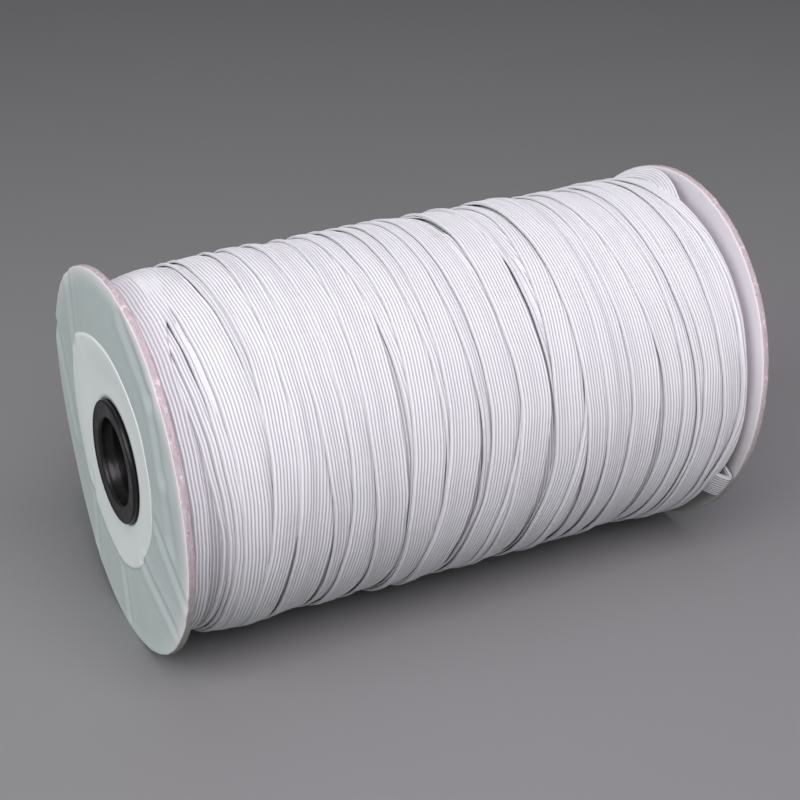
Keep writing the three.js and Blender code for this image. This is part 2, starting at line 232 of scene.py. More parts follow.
# The loose end and the strand that climbs the far disc: the places of the middle along the reel,
# its angle and radius, and the width's direction along the reel, round it and outward. Both are
# a little crowned across and have slightly taller ribs than the wound tape.
STRAP_STEPS = 49
STRAP_CROWN = 0.3
STRAP_RELIEF = 1.2
LOOSE_END = [
    (67.6, 211.1, 44.4, 0.06, -1.0, 0.0),
    (69.4, 211.1, 46.3, 0.06, -1.0, 0.0),
    (71.2, 211.1, 47.5, 0.06, -1.0, 0.0),
    (72.3, 211.1, 47.0, 0.06, -1.0, 0.0),
    (72.5, 211.1, 45.5, 0.06, -1.0, 0.0),
    (72.4, 211.1, 43.8, 0.06, -1.0, 0.0),
]
CLIMBING_WIDTH = 0.005
CLIMBING_STRAND = [
    (70.6, 24.0, 42.8, 1.0, 0.0, 0.0),
    (72.0, 32.0, 43.6, 1.0, 0.0, 0.0),
    (73.6, 42.0, 44.5, 1.0, 0.0, 0.0),
    (74.8, 56.0, 45.5, 0.95, 0.0, 0.22),
    (75.8, 72.0, 46.1, 0.90, 0.0, 0.38),
    (75.8, 82.0, 46.0, 0.90, 0.0, 0.38),
    (74.6, 90.0, 45.5, 0.95, 0.0, 0.2),
    (72.8, 98.0, 44.4, 1.0, 0.0, 0.05),
    (71.0, 106.0, 43.0, 1.0, 0.0, 0.0),
]

# Soft creases in the discs' paper, from (y, z) to (y, z) about the axis, with depth and width.
# Beside each runs a low welt, so many widths away and with such a share of the depth.
CREASE_WELT = {"away": 1.7, "share": 0.45}
NEAR_CREASES = [
    ((2.4, -30.8), (-0.1, -44.0), 0.30, 1.6),
    ((-14.9, -21.0), (-35.0, -27.0), 0.35, 1.7),
    ((-26.0, -3.5), (-43.0, -15.0), 0.32, 1.8),
    ((25.5, 44.0), (27.2, 20.0), 0.34, 1.5),
    ((24.0, -15.0), (24.7, -38.0), 0.24, 1.6),
    ((43.0, 19.0), (36.5, -9.0), 0.30, 1.8),
    ((-12.0, 42.0), (-28.9, 29.3), 0.40, 2.0),
    ((-28.9, 29.3), (-34.7, 12.2), 0.40, 2.0),
    ((-34.7, 12.2), (-37.5, -3.0), 0.30, 2.2),
]
FAR_CREASES = [
    ((-10.0, 22.0), (-17.0, 43.0), 0.30, 1.8),
    ((21.0, -19.0), (33.0, -32.0), 0.32, 1.8),
    ((-30.0, -12.0), (-42.0, -8.0), 0.28, 1.6),
    ((30.0, 14.0), (40.0, 22.0), 0.30, 1.9),
]

# The round paper: its board, how ragged and puckered its edge is, how far it stands off the
# disc, its steps and rings, and its outline about the axis as angle and radius
PAPER_BOARD = 0.1
PAPER_RAGGED = 0.12
PAPER_PUCKER = 0.04
PAPER_LIFT = 0.02
PAPER_STEPS = 240
PAPER_RINGS = 16
PAPER_OUTLINE = {
    20: 33.8, 40: 34.4, 54: 32.4, 72: 30.2, 96: 28.1, 120: 26.6, 138: 26.2, 155: 24.9,
    178: 24.2, 193: 24.0, 210: 23.8, 229: 24.2, 240: 25.8, 253: 27.0, 267: 28.8,
    284: 30.0, 303: 31.1, 325: 32.4, 343: 32.8, 358: 33.0,
}

# The camera, which looks at its target from an azimuth left of -Y, and the studio round the reel
CAMERA_AZIMUTH = 26.68
CAMERA_HEIGHT = 26.78
CAMERA_DISTANCE = 0.4381
CAMERA_TARGET = Vector((-0.0031, 0.0009, 0.0458))
CAMERA_LENS = 76.68
CAMERA_SENSOR = 36
FLOOR_HALF = 4.0
FLOOR_CORNERS = [(-1, -1), (1, -1), (1, 1), (-1, 1)]
SKY = {"colour": (0.93, 0.96, 1.0, 1.0), "strength": 0.17}
LIGHTS = {
    # name: azimuth and height of the light seen from the reel, distance, size, watts, colour
    "key_softbox": (-10, 52, 0.9, 0.8, 8.8, (1.0, 0.87, 0.985)),
    "low_softbox": (12, 12, 1.0, 0.6, 0.6, (0.74, 1.0, 0.90)),
    "top_softbox": (150, 75, 1.0, 0.8, 0.9, (0.86, 0.86, 1.0)),
    "left_fill": (-75, 32, 1.1, 0.8, 5.8, (0.93, 1.0, 0.97)),
}


def length_property(name, description, default, low, high):
    """A length in metres for the panel."""
    return FloatProperty(
        name=name, description=description, default=default, min=low, max=high, unit="LENGTH")


def colour_property(name, description, default):
    """A colour for the panel."""
    return FloatVectorProperty(
        name=name, description=description, subtype="COLOR", default=default, min=0.0, max=1.0)


class ReelSizes(PropertyGroup):
    tape_width: length_property(
        "Tape width", "Width of the braided elastic as wound", 0.0083, 0.003, 0.02)
    tape_thickness: length_property(
        "Tape thickness", "Thickness of one layer of tape over its ribs", 0.0007, 0.0003, 0.002)
    rib_count: IntProperty(
        name="Ribs", description="Ribs across the tape", default=10, min=4, max=16)
    rib_height: length_property(
        "Rib height", "Height of a rib over the grooves beside it", 0.00042, 0.0, 0.0008)
    rib_unevenness: FloatProperty(
        name="Rib unevenness", description="Share by which the ribs differ in height",
        default=0.5, min=0.0, max=1.0, subtype="FACTOR")
    edge_roughness: length_property(
        "Board edge roughness", "How far the cut edge of a disc is ragged", 0.00014, 0.0, 0.0006)


class ReelColours(PropertyGroup):
    elastic: colour_property("Elastic", "Yarn of the tape", (0.83, 0.856, 0.865))
    disc_outside: colour_property(
        "Disc outside", "Paper on the outer faces of the discs", (0.55, 0.61, 0.60))
    disc_inside: colour_property(
        "Disc inside", "Paper on the inner faces of the discs", (0.78, 0.75, 0.79))
    disc_edge: colour_property("Board edge", "Bare cut edge of the discs", (0.50, 0.43, 0.44))
    round_paper: colour_property("Round paper", "Paper glued to the near disc", (0.82, 0.855, 0.845))
    plastic: colour_property("Bushes", "Moulded plastic bushes", (0.006, 0.006, 0.0063))
    core_board: colour_property("Core tube", "Spiral wound board of the core tube", (0.30, 0.22, 0.14))
    floor: colour_property("Floor", "Plain floor of the stage", (0.212, 0.219, 0.214))


# Lines and places

def smooth_line(knots):
    """A smooth line through {at: value}, with each slope taken from the knots beside it."""
    at = np.array(sorted(knots), float)
    value = np.array([knots[key] for key in sorted(knots)], float)
    before = np.maximum(np.arange(len(at)) - 1, 0)
    after = np.minimum(np.arange(len(at)) + 1, len(at) - 1)
    slope = (value[after] - value[before]) / (at[after] - at[before])

    def line(where):
        where = np.asarray(where, float)
        i = np.clip(np.searchsorted(at, where, side="right") - 1, 0, len(at) - 2)
        span = at[i + 1] - at[i]
        u = np.clip((where - at[i]) / span, 0, 1)
        start = (1 + 2 * u) * (1 - u) ** 2 * value[i]
        end = u * u * (3 - 2 * u) * value[i + 1]
        leave = u * (1 - u) ** 2 * span * slope[i]
        arrive = u * u * (u - 1) * span * slope[i + 1]
        return start + end + leave + arrive

    return line


def round_line(knots):
    """smooth_line for a value that comes back to itself after a whole turn."""
    wrapped = {at + turn: value for turn in (-360, 0, 360) for at, value in knots.items()}
    line = smooth_line(wrapped)
    first = min(knots)
    return lambda angle: line(first + (np.asarray(angle, float) - first) % 360)


def smooth_step(value, low, high):
    """0 below low, 1 above high, and a smooth rise between them."""
    share = np.clip((value - low) / (high - low), 0, 1)
    return share * share * (3 - 2 * share)


def reel_places(along, y, z):
    """Places in metres in the frame, from millimetres along the reel and about its axis."""
    x = REEL_MIDDLE + MM * np.asarray(along, float)
    height = np.maximum(AXIS_HEIGHT + MM * np.asarray(z, float), 0)
    return np.stack(np.broadcast_arrays(x, MM * np.asarray(y, float), height), -1)


def about_axis(radius, angle):
    """y and z about the reel's axis, in millimetres."""
    turn = np.radians(angle)
    return radius * np.cos(turn), radius * np.sin(turn)


def round_places(along, radius, angle):
    return reel_places(along, *about_axis(radius, angle))


def far_shift(y, z):
    """How far the leaning far disc stands away from square, along the reel."""
    return smooth_step(np.hypot(y, z), CLAMP_RADIUS, FREE_RADIUS) * (z * FAR_LEAN + y * FAR_TURN)


def near_shift(y, z):
    """How far the warped near disc stands away from square, along the reel."""
    radius = np.hypot(y, z)
    angle = np.arctan2(z, y)
    out = NEAR_WARP
    for lobe, (cosine, sine) in enumerate(NEAR_WARP_WAVES, 1):
        wave = cosine * np.cos(lobe * angle) + sine * np.sin(lobe * angle)
        out = out + wave * (radius / DISC_RADIUS) ** lobe
    return -smooth_step(radius, CLAMP_RADIUS, FREE_RADIUS) * out


def soft_noise(angle, lobes, seed):
    """A smooth uneven line round the reel, about -1 to 1, made of a few waves."""
    random = np.random.default_rng(seed)
    total = np.zeros_like(np.asarray(angle, float))
    for lobe in lobes:
        total = total + random.uniform(0.5, 1) * np.cos(
            np.radians(lobe * np.asarray(angle)) + random.uniform(0, 2 * math.pi))
    return total / len(lobes)


# Meshes

def grid_faces(rows, columns, wrap_rows=False, wrap_columns=False):
    """Quads of a grid of rows by columns points, numbered row by row."""
    r = np.arange(rows if wrap_rows else rows - 1)[:, None]
    c = np.arange(columns if wrap_columns else columns - 1)[None, :]
    r_next = (r + 1) % rows
    c_next = (c + 1) % columns
    row, row_next = r * columns, r_next * columns
    corners = (row + c, row + c_next, row_next + c_next, row_next + c)
    return np.stack(np.broadcast_arrays(*corners), -1).reshape(-1, 4)


def signed_volume(points, faces):
    """Six times the volume inside the faces, negative where they point inwards."""
    total = 0.0
    for block in faces:
        for k in range(1, block.shape[1] - 1):
            a, b, c = points[block[:, 0]], points[block[:, k]], points[block[:, k + 1]]
            total += np.einsum("ij,ij->i", a, np.cross(b, c)).sum()
    return total


def closed_piece(name, points, faces, uv=None, labels=None, material_index=None):
    """A closed mesh object whose faces point outwards. faces is a list of blocks of faces."""
    points = np.asarray(points, float).reshape(-1, 3)
    centred = points - points.mean(0)
    if signed_volume(centred, faces) < 0:
        faces = [block[:, ::-1] for block in faces]
    mesh = bpy.data.meshes.new(name)
    mesh.vertices.add(len(points))
    mesh.vertices.foreach_set("co", points.astype(np.float32).ravel())
    corners = np.concatenate([block.ravel() for block in faces])
    sizes = np.concatenate([np.full(len(block), block.shape[1]) for block in faces])
    mesh.loops.add(len(corners))
    mesh.loops.foreach_set("vertex_index", corners.astype(np.int32))
    mesh.polygons.add(len(sizes))
    mesh.polygons.foreach_set("loop_start", (np.cumsum(sizes) - sizes).astype(np.int32))
    if material_index is not None:
        mesh.polygons.foreach_set("material_index", material_index.astype(np.int32))
    mesh.update(calc_edges=True)
    mesh.polygons.foreach_set("use_smooth", np.ones(len(sizes), bool))
    if uv is not None:
        layer = mesh.uv_layers.new(name="UVMap")
        layer.data.foreach_set("uv", uv[corners].astype(np.float32).ravel())
    for label, values in (labels or {}).items():
        kind = "FLOAT_VECTOR" if values.ndim == 2 else "FLOAT"
        field = "vector" if values.ndim == 2 else "value"
        attribute = mesh.attributes.new(label, kind, "POINT")
        attribute.data.foreach_set(field, values.astype(np.float32).ravel())
    if mesh.validate():
        raise RuntimeError(f"{name}: the mesh had faults")
    piece = bpy.data.objects.new(name, mesh)
    bpy.context.scene.collection.objects.link(piece)
    return piece


def turned_piece(name, section, steps, shape=None, material_index=None):
    """A ring turned about the reel's axis from a closed section of (radius, along).

    shape(along, radius, angle) may move the points before they are placed.
    """
    radius, along = np.array(section, float).T
    angle = np.arange(steps)[:, None] * 360 / steps
    along, radius, angle = np.broadcast_arrays(along[None, :], radius[None, :], angle)
    if shape is not None:
        along, radius = shape(along, radius, angle)
    points = round_places(along, radius, angle)
    faces = grid_faces(steps, len(section), wrap_rows=True, wrap_columns=True)
    index = None if material_index is None else np.tile(material_index, steps)
    return closed_piece(name, points, [faces], material_index=index)


def hand_over(piece, materials, slot, *nodes):
    """Gives a finished piece its materials and its body, and hides the frame's nodes it stands for.
    The slot is not used.
    """
    mesh = piece.data
    numbers = np.zeros(len(mesh.polygons), np.int32)
    mesh.polygons.foreach_get("material_index", numbers)
    mesh.materials.clear()
    for material in materials:
        mesh.materials.append(material)
    mesh.polygons.foreach_set("material_index", numbers)
    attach(piece, BODY)
    if nodes:
        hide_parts(*nodes)


# Finishes

# Colours of wear with painted highlight, of painted shade low down and of dust, and the heights in
# metres between which the painted shade fades. A whole turn as the patterns use it, and the width in
# metres of the strip that the core tube is wound of.
# Wear with painted highlight: the pale colour of the discs' outer edges.
WORN_PAPER_AND_HIGHLIGHT = (0.90, 0.87, 0.89)
# Painted shade: the two colours that the discs' inner faces and cut edges darken to low down.
PAPER_LOW_SHADE = (0.36, 0.37, 0.34)
BOARD_LOW_SHADE = (0.30, 0.31, 0.295)
BOARD_PULP = (0.68, 0.60, 0.60)
BOARD_SPECK = (0.16, 0.13, 0.11)
PLASTIC_DUST = (0.3, 0.3, 0.3)
LOW_SHADE_HEIGHTS = {"low": 0.012, "paper": 0.062, "board": 0.055}
FULL_TURN = 6.2832
CORE_STRIP = 0.032


class Nodes:
    """Short calls that add nodes to self.tree and hand back what they make."""

    def add(self, kind, inputs=None, **settings):
        node = self.tree.nodes.new(kind)
        for key, value in settings.items():
            setattr(node, key, value)
        for key, value in (inputs or {}).items():
            if isinstance(value, bpy.types.NodeSocket):
                self.tree.links.new(value, node.inputs[key])
            else:
                node.inputs[key].default_value = value
        return node

    def math(self, operation, a, b=0.0):
        """One step of arithmetic on two values or outputs."""
        return self.add("ShaderNodeMath", {0: a, 1: b}, operation=operation).outputs[0]

    def product(self, a, b):
        return self.math("MULTIPLY", a, b)


class Finish(Nodes):
    """A material and the patterns it is made of."""

    def __init__(self, name, roughness, **values):
        self.material = bpy.data.materials.new(name)
        self.material.use_nodes = True
        self.tree = self.material.node_tree
        self.shader = self.tree.nodes["Principled BSDF"]
        self.shader.inputs["Roughness"].default_value = roughness
        for socket, value in values.items():
            self.shader.inputs[socket.replace("_", " ")].default_value = value
        coordinates = self.add("ShaderNodeTexCoord")
        self.object = coordinates.outputs["Object"]

    def noise(self, scale, detail=3.0, vector=None, roughness=0.5):
        inputs = {"Vector": vector or self.object, "Scale": scale, "Detail": detail}
        inputs["Roughness"] = roughness
        return self.add("ShaderNodeTexNoise", inputs).outputs["Fac"]

    def stretch(self, scale, vector=None):
        inputs = {"Vector": vector or self.object, "Scale": scale}
        return self.add("ShaderNodeMapping", inputs).outputs["Vector"]

    def fade(self, value, low, high, from_value=0.0, to_value=1.0):
        inputs = {"Value": value, "From Min": low, "From Max": high}
        inputs.update({"To Min": from_value, "To Max": to_value})
        return self.add("ShaderNodeMapRange", inputs, clamp=True).outputs["Result"]

    def tint(self, factor, colour, other):
        node = self.add("ShaderNodeMix", {"Factor": factor}, data_type="RGBA")
        for socket, value in ((node.inputs[6], colour), (node.inputs[7], other)):
            if isinstance(value, bpy.types.NodeSocket):
                self.tree.links.new(value, socket)
            else:
                socket.default_value = (*value[:3], 1.0)
        return node.outputs[2]

    def use(self, socket, value):
        self.tree.links.new(value, self.shader.inputs[socket])

    def shaded_low(self, surface, low_shade, low, high):
        """The surface's colour, darker towards the side the reel lies on: painted shade."""
        parts = self.add("ShaderNodeSeparateXYZ", {0: self.object})
        return self.tint(self.fade(parts.outputs["Z"], low, high), low_shade, surface)

    def relief(self, *layers):
        """Bumps laid over each other: each layer is (height, depth in metres)."""
        normal = None
        for height, depth in layers:
            inputs = {"Height": height, "Distance": depth, "Strength": 1.0}
            if normal is not None:
                inputs["Normal"] = normal
            normal = self.add("ShaderNodeBump", inputs).outputs["Normal"]
        self.use("Normal", normal)


def shade(colour, share):
    """A colour made darker, to a share of its brightness."""
    return tuple(share * channel for channel in colour)


def elastic_finish(name, colour, groove_painted_shade):
    """Braided yarn: small slanting stitches on each rib, and painted shade that darkens the grooves
    between ribs.
    """
    finish = Finish(name, 0.62, Sheen_Weight=0.25, Sheen_Roughness=0.5)
    strands = finish.add("ShaderNodeUVMap", uv_map="UVMap").outputs["UV"]
    parts = finish.add("ShaderNodeSeparateXYZ", {0: strands})
    across = finish.math("SUBTRACT", finish.math("FRACT", parts.outputs["X"]), 0.5)
    side = finish.math("ABSOLUTE", across)
    slant = finish.product(side, 1.3)
    pitch = finish.product(parts.outputs["Y"], 1.7)
    stitch = finish.math("SINE", finish.product(finish.math("ADD", slant, pitch), FULL_TURN))
    # Painted shade: the grooves between ribs are darkened, as shade falls in them.
    groove_shadow = finish.fade(side, 0.12, 0.50)
    drift = finish.noise(60, 4)
    warm = finish.tint(drift, colour, shade(colour, 0.93))
    groove_shaded = finish.tint(finish.product(groove_shadow, 0.8), warm, shade(colour, groove_painted_shade))
    finish.use("Base Color", groove_shaded)
    finish.use("Roughness", finish.fade(drift, 0.3, 0.7, 0.55, 0.7))
    fuzz = finish.noise(2600, 2)
    finish.relief((stitch, 0.00004), (fuzz, 0.00005))
    return finish.material


def shaded_bed_finish(colour):
    """The layer of tape under the last one, where it shows between turns: painted darker than the tape
    as shade between the turns, with painted shade in its rib grooves.
    """
    finish = Finish("elastic_bed_shaded", 0.7)
    ribs = finish.add(
        "ShaderNodeTexWave", {"Vector": finish.object, "Scale": 393.0, "Distortion": 0.6},
        bands_direction="X").outputs["Fac"]
    # Painted shade: the bed is darker than the tape, and darker still in its grooves.
    finish.use("Base Color", finish.tint(ribs, shade(colour, 0.45), shade(colour, 0.85)))
    finish.relief((ribs, 0.0003))
    return finish.material


def paper_finish(name, colour, mottle, pale_edge_from=None, low_shade=None):
    """Smooth paper with faint cloudiness, fine fibres and, on a disc, a pale edge: wear with painted
    highlight, paler on the upper side. Where asked, painted shade makes it darker towards the bottom.
    """
    finish = Finish(name, 0.5, Specular_IOR_Level=0.4)
    clouds = finish.noise(38, 5, roughness=0.6)
    fibres = finish.noise(900, 4)
    surface = finish.tint(finish.fade(clouds, 0.35, 0.7), colour, shade(colour, mottle))
    specks = finish.fade(finish.noise(420, 1), 0.76, 0.80)
    surface = finish.tint(finish.product(specks, 0.35), surface, shade(colour, 0.5))
    if pale_edge_from is not None:
        parts = finish.add("ShaderNodeSeparateXYZ", {0: finish.object})
        rise = finish.math("SUBTRACT", parts.outputs["Z"], AXIS_HEIGHT)
        reach = finish.math("SQRT", finish.math(
            "ADD", finish.product(rise, rise),
            finish.product(parts.outputs["Y"], parts.outputs["Y"])))
        ragged = finish.product(finish.noise(300, 3), 0.0012)
        pale_edge = finish.fade(
            finish.math("ADD", reach, ragged), pale_edge_from * MM, (pale_edge_from + 5.2) * MM)
        # Painted highlight: the pale edge is made paler on the upper side, where the light falls.
        lit_upper_side = finish.fade(
            finish.math("SUBTRACT", rise, parts.outputs["Y"]), -0.02, 0.05, 0.15, 0.85)
        pale = finish.product(finish.product(pale_edge, pale_edge), lit_upper_side)
        surface = finish.tint(pale, surface, WORN_PAPER_AND_HIGHLIGHT)
    if low_shade is not None:
        # Painted shade: darker towards the bottom.
        surface = finish.shaded_low(surface, low_shade, LOW_SHADE_HEIGHTS["low"], LOW_SHADE_HEIGHTS["paper"])
    finish.use("Base Color", surface)
    finish.use("Roughness", finish.fade(clouds, 0.3, 0.7, 0.42, 0.58))
    finish.relief((clouds, 0.00025), (fibres, 0.00002))
    return finish.material


def board_edge_finish(colour):
    """Cut grey board: thin layers along the edge, pulp and dark specks."""
    finish = Finish("board_edge", 0.9)
    plies = finish.noise(1.0, 3, finish.stretch((3800, 420, 420)))
    pulp = finish.noise(700, 4)
    specks = finish.fade(finish.noise(1500, 1), 0.68, 0.72)
    layered = finish.tint(finish.fade(plies, 0.35, 0.65), shade(colour, 0.78), colour)
    pale = finish.tint(finish.fade(pulp, 0.55, 0.75), layered, BOARD_PULP)
    specked = finish.tint(finish.product(specks, 0.6), pale, BOARD_SPECK)
    # Painted shade: the cut edge is darker towards the bottom.
    low_shaded = finish.shaded_low(specked, BOARD_LOW_SHADE, LOW_SHADE_HEIGHTS["low"], LOW_SHADE_HEIGHTS["board"])
    finish.use("Base Color", low_shaded)
    finish.relief((plies, 0.0002), (pulp, 0.0002))
    return finish.material


def plastic_finish(colour):
    """Moulded black plastic with faint swirls and a little dust."""
    finish = Finish("black_plastic", 0.32, Specular_IOR_Level=0.38)
    swirl = finish.noise(260, 3)
    dust = finish.fade(finish.noise(2400, 1), 0.72, 0.76)
    finish.use("Base Color", finish.tint(finish.product(dust, 0.25), colour, PLASTIC_DUST))
    finish.use("Roughness", finish.fade(swirl, 0.3, 0.7, 0.26, 0.40))
    finish.relief((swirl, 0.00006))
    return finish.material


def core_finish(colour):
    """Brown board wound in a spiral, with its seams and fibres."""
    finish = Finish("core_board", 0.88)
    parts = finish.add("ShaderNodeSeparateXYZ", {0: finish.object})
    rise = finish.math("SUBTRACT", parts.outputs["Z"], AXIS_HEIGHT)
    turn = finish.product(finish.math("ARCTAN2", rise, parts.outputs["Y"]), 1 / FULL_TURN)
    strip = finish.math("ADD", finish.product(parts.outputs["X"], 1 / CORE_STRIP), turn)
    seam = finish.fade(finish.math("FRACT", strip), 0.02, 0.0)
    fibres = finish.noise(1.0, 4, finish.stretch((400, 900, 900)))
    board = finish.tint(fibres, shade(colour, 0.75), colour)
    finish.use("Base Color", finish.tint(finish.product(seam, 0.7), board, shade(colour, 0.4)))
    finish.relief((seam, -0.0002), (fibres, 0.0001))
    return finish.material


def floor_finish(colour):
    """A plain matt floor, hardly mottled."""
    finish = Finish("studio_floor", 0.75, Specular_IOR_Level=0.2)
    grain = finish.noise(14, 3)
    finish.use("Base Color", finish.tint(grain, colour, shade(colour, 0.96)))
    return finish.material


# Ribs of the tape, raised by a node tree

class NodeTree(Nodes):
    """A geometry node tree with named inputs."""

    def __init__(self, name):
        self.tree = bpy.data.node_groups.new(name, "GeometryNodeTree")
        for way in ("INPUT", "OUTPUT"):
            self.tree.interface.new_socket(
                "Geometry", in_out=way, socket_type="NodeSocketGeometry")
        self.sockets = {}

    def socket(self, name, kind, default=None):
        socket = self.tree.interface.new_socket(
            name, in_out="INPUT", socket_type="NodeSocket" + kind)
        if default is not None:
            socket.default_value = default
        self.sockets[name] = socket.identifier

    def label(self, name, kind="FLOAT"):
        node = self.add("GeometryNodeInputNamedAttribute", {"Name": name}, data_type=kind)
        return node.outputs["Attribute"]


def rib_tree():
    """Raises round ribs on a draped strap, from its labels across, along, relief and lift."""
    ribs = NodeTree("Tape ribs")
    ribs.socket("Ribs", "Int", 10)
    ribs.socket("Rib height", "Float", 0.0003)
    ribs.socket("Unevenness", "Float", 0.3)
    ribs.socket("Seed", "Int", 3)
    ribs.socket("Material", "Material")
    given = ribs.add("NodeGroupInput").outputs
    phase = ribs.product(ribs.label("across"), given["Ribs"])
    number = ribs.math("FLOOR", phase)
    middle = ribs.math("SUBTRACT", ribs.product(ribs.math("FRACT", phase), 2.0), 1.0)
    arch = ribs.math("SUBTRACT", 1.0, ribs.product(middle, middle))
    place = ribs.add("ShaderNodeCombineXYZ", {
        0: ribs.product(number, 5.7),
        1: ribs.product(ribs.label("along"), 0.035),
        2: given["Seed"],
    }).outputs[0]
    noise = ribs.add("ShaderNodeTexNoise", {"Vector": place, "Scale": 1.0, "Detail": 2.0})
    drift = noise.outputs[0]
    spread = ribs.product(ribs.math("SUBTRACT", drift, 0.5), given["Unevenness"])
    share = ribs.math("ADD", 1.0, ribs.product(spread, 2.0))
    height = ribs.product(ribs.product(arch, share), given["Rib height"])
    height = ribs.product(height, ribs.label("relief"))
    outward = ribs.label("lift", "FLOAT_VECTOR")
    lift = ribs.add("ShaderNodeVectorMath", {0: outward, 3: height}, operation="SCALE")
    raised = ribs.add("GeometryNodeSetPosition", {
        "Geometry": given["Geometry"], "Offset": lift.outputs[0],
    })
    real = ribs.add("GeometryNodeRealizeInstances", {0: raised.outputs[0]})
    painted = ribs.add("GeometryNodeSetMaterial", {
        "Geometry": real.outputs[0], "Material": given["Material"],
    })
    ribs.add("NodeGroupOutput", {0: painted.outputs[0]})
    return ribs


def raise_ribs(strap, ribs, values):
    """Runs the rib tree on a strap and keeps the result as a plain mesh of the same name."""
    name = strap.name
    modifier = strap.modifiers.new("Ribs", "NODES")
    modifier.node_group = ribs.tree
    for label, value in values.items():
        modifier[ribs.sockets[label]] = value
    bpy.context.view_layer.update()
    graph = bpy.context.evaluated_depsgraph_get()
    mesh = bpy.data.meshes.new_from_object(strap.evaluated_get(graph))
    strap.modifiers.remove(modifier)
    base = strap.data
    strap.data = mesh
    bpy.data.meshes.remove(base)
    for label in ("across", "along", "relief", "lift"):
        mesh.attributes.remove(mesh.attributes[label])
    mesh.name = name
    return strap


def rib_values(sizes, material):
    """The rib tree's inputs for the panel's sizes."""
    return {
        "Ribs": sizes.rib_count, "Rib height": sizes.rib_height,
        "Unevenness": sizes.rib_unevenness, "Seed": RIB_SEED, "Material": material,
    }


def strap_piece(name, top, under, lift, relief, shown, along, sizes):
    """A closed strap from the rows of its top points and of the points of its underside."""
    steps, across_points = top.shape[:2]
    under_points = under.shape[1]
    ring = across_points + under_points
    points = np.concatenate([top, under], 1)
    across = np.concatenate([np.linspace(0, 1, across_points), np.linspace(1, 0, under_points)])
    across = across * shown[:, None]
    raised = np.zeros((steps, ring))
    raised[:, 1:across_points - 1] = relief[:, 1:-1]
    ribs = across * sizes.rib_count
    ribs[:, [0, -1]] = WALL_PATTERN
    ribs[:, [across_points - 1, across_points]] = ribs[:, [across_points - 1]] - WALL_PATTERN
    uv = np.stack([ribs, np.broadcast_to(along[:, None], (steps, ring))], -1)
    labels = {
        "across": across.ravel(), "relief": raised.ravel(),
        "along": np.broadcast_to(along[:, None], (steps, ring)).ravel(),
        "lift": np.concatenate([lift, np.zeros_like(under)], 1).reshape(-1, 3),
    }
    sides = grid_faces(steps, ring, wrap_columns=True)
    ends = np.stack([np.arange(ring)[::-1], (steps - 1) * ring + np.arange(ring)])
    return closed_piece(name, points, [sides, ends], uv.reshape(-1, 2), labels)


# The winding

def near_drop(place, angle):
    """How much thinner the winding is towards the near disc, most at one angle round it."""
    share = DROP_EVEN + DROP_WAVE * np.cos(np.radians(angle - DROP_ANGLE))
    return smooth_line(NEAR_DROP)(place) * share


def bed_section(place, far, angle):
    """Where a point of the bed lies, and the outward direction there along and from the axis.

    place is measured along the bed's section, over the far shoulder and down the far side.
    """
    start = far - SIDE_BUILD - END_ROUND
    bend = np.clip((place - start) / END_ROUND, 0, math.pi / 2)
    down = np.maximum(place - start - END_ROUND * math.pi / 2, 0)
    drop = near_drop(place, angle)
    along = np.minimum(place, start) + END_ROUND * np.sin(bend)
    radius = BED_RADIUS - drop - END_ROUND * (1 - np.cos(bend)) - down
    return along, radius, np.sin(bend), np.cos(bend)


def turn_line():
    """The one line of the tape's raised edge, from the last turn back to the first."""
    turns = len(TURN_EDGES) + 1
    random = np.random.default_rng(BACK_WANDER["seed"])
    knots = dict(LAST_RUN)
    for turn, row in enumerate(TURN_EDGES):
        start = 360 * (turns - 1 - turn)
        for spot, edge in zip(TURN_SPOTS.values(), row):
            knots[start + spot] = edge
        before = TURN_EDGES[turn - 1][0] if turn else FIRST_EDGE
        for angle in BACK_WANDER["angles"]:
            wander = random.uniform(-1, 1) * BACK_WANDER["reach"]
            share = (angle - TURN_SPOTS["low"]) / (450 - TURN_SPOTS["low"])
            if turn >= BACK_WANDER["from_turn"]:
                knots[start + angle] = row[-1] + share * (before - row[-1]) + wander
    knots[360 * turns + 90] = FIRST_EDGE
    return smooth_line(knots), turns


def bell(places):
    """Weights of a bell curve at places given in its own width, adding up to one."""
    weights = np.exp(-0.5 * places ** 2)
    return weights / weights.sum()


def spread_round(height, reach, blur):
    """The bed's height as a tape of some stiffness rests on it: widened, then softened."""
    wide = height
    for shift in range(1, round(reach / CELL) + 1):
        wide = np.maximum(wide, np.maximum(np.roll(height, shift, 1), np.roll(height, -shift, 1)))
    half = round(3 * blur / CELL)
    shifts = np.arange(-half, half + 1)
    soft = np.zeros_like(wide)
    for shift, weight in zip(shifts, bell(shifts * CELL / blur)):
        soft += weight * np.roll(wide, shift, 1)
    return soft


def bed_unevenness():
    """Small swells of the layers below, as a height for each angle and cell."""
    random = np.random.default_rng(BED_SWELL["seed"])
    total = np.zeros((ROUND_STEPS, len(CELLS)))
    for lobe in BED_SWELL["round"]:
        for wave in BED_SWELL["along"]:
            phase = random.uniform(0, 2 * math.pi, 2)
            ring = np.cos(np.radians(lobe * ROUND_ANGLES)[:, None] + phase[0])
            line = np.cos(2 * math.pi * CELLS / wave + phase[1])
            total += random.uniform(0.3, 1) * ring * line
    return BED_SWELL["reach"] * total


def turn_width(turn, run, width):
    """The width of a turn at each angle: a little uneven, and narrower where it is squeezed."""
    wander = soft_noise(run, WIDTH_WANDER["waves"], WIDTH_WANDER["seed"])
    own = width * (1 + WIDTH_WANDER["share"] * wander)
    if turn not in SQUEEZED:
        return own
    closes, closed, opens, opened, squeezed = SQUEEZED[turn]
    share = smooth_step(ROUND_ANGLES, closes, closed) - smooth_step(ROUND_ANGLES, opens, opened)
    return own + share * (squeezed - own)


